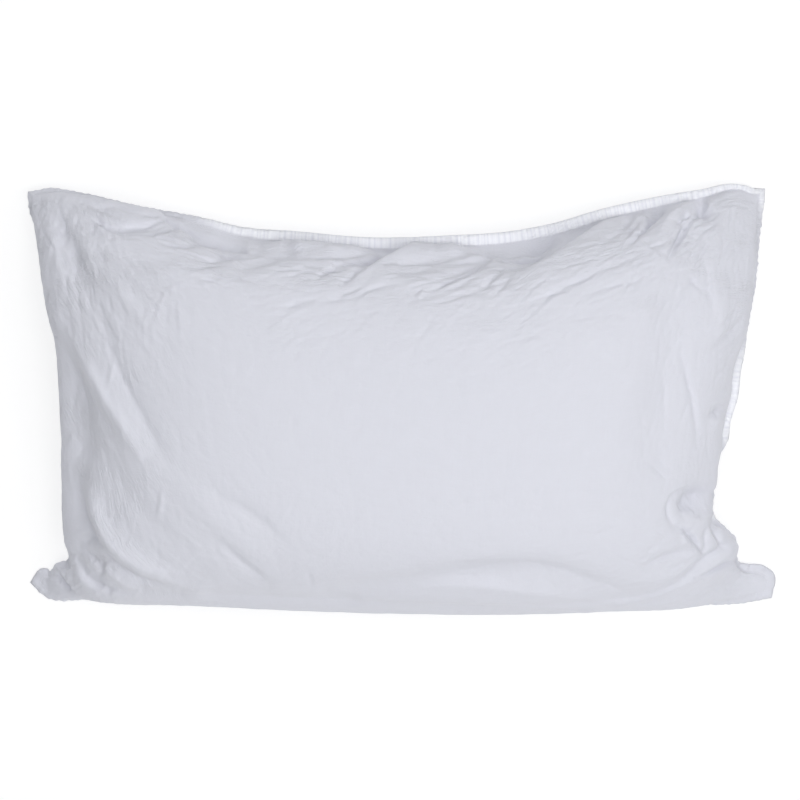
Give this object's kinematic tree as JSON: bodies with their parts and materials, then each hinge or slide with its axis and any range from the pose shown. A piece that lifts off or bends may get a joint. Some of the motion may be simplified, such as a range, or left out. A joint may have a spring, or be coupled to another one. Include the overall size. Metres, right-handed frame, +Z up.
{
  "type": "filled pillowcase",
  "caption": "Rectangular washed-cotton pillowcase on its pillow, lying on its back, with a narrow topstitched edge, a slack upper side, drawn-in ends and pinched lower corners.",
  "frame": {"origin": "the surface that the case lies on, under the middle of its overall length and width", "axes": "+X along the long sides; +Y from the full long side, where the filling has sunk, to the slack one; +Z up out of the face"},
  "size_m": [0.7671, 0.4324, 0.1744],
  "materials": {
    "washed_cotton": "matt, fine plain weave with washed-in crinkles"
  },
  "bodies": {
    "root": {"filled_case": "washed_cotton"}
  },
  "joints": []
}
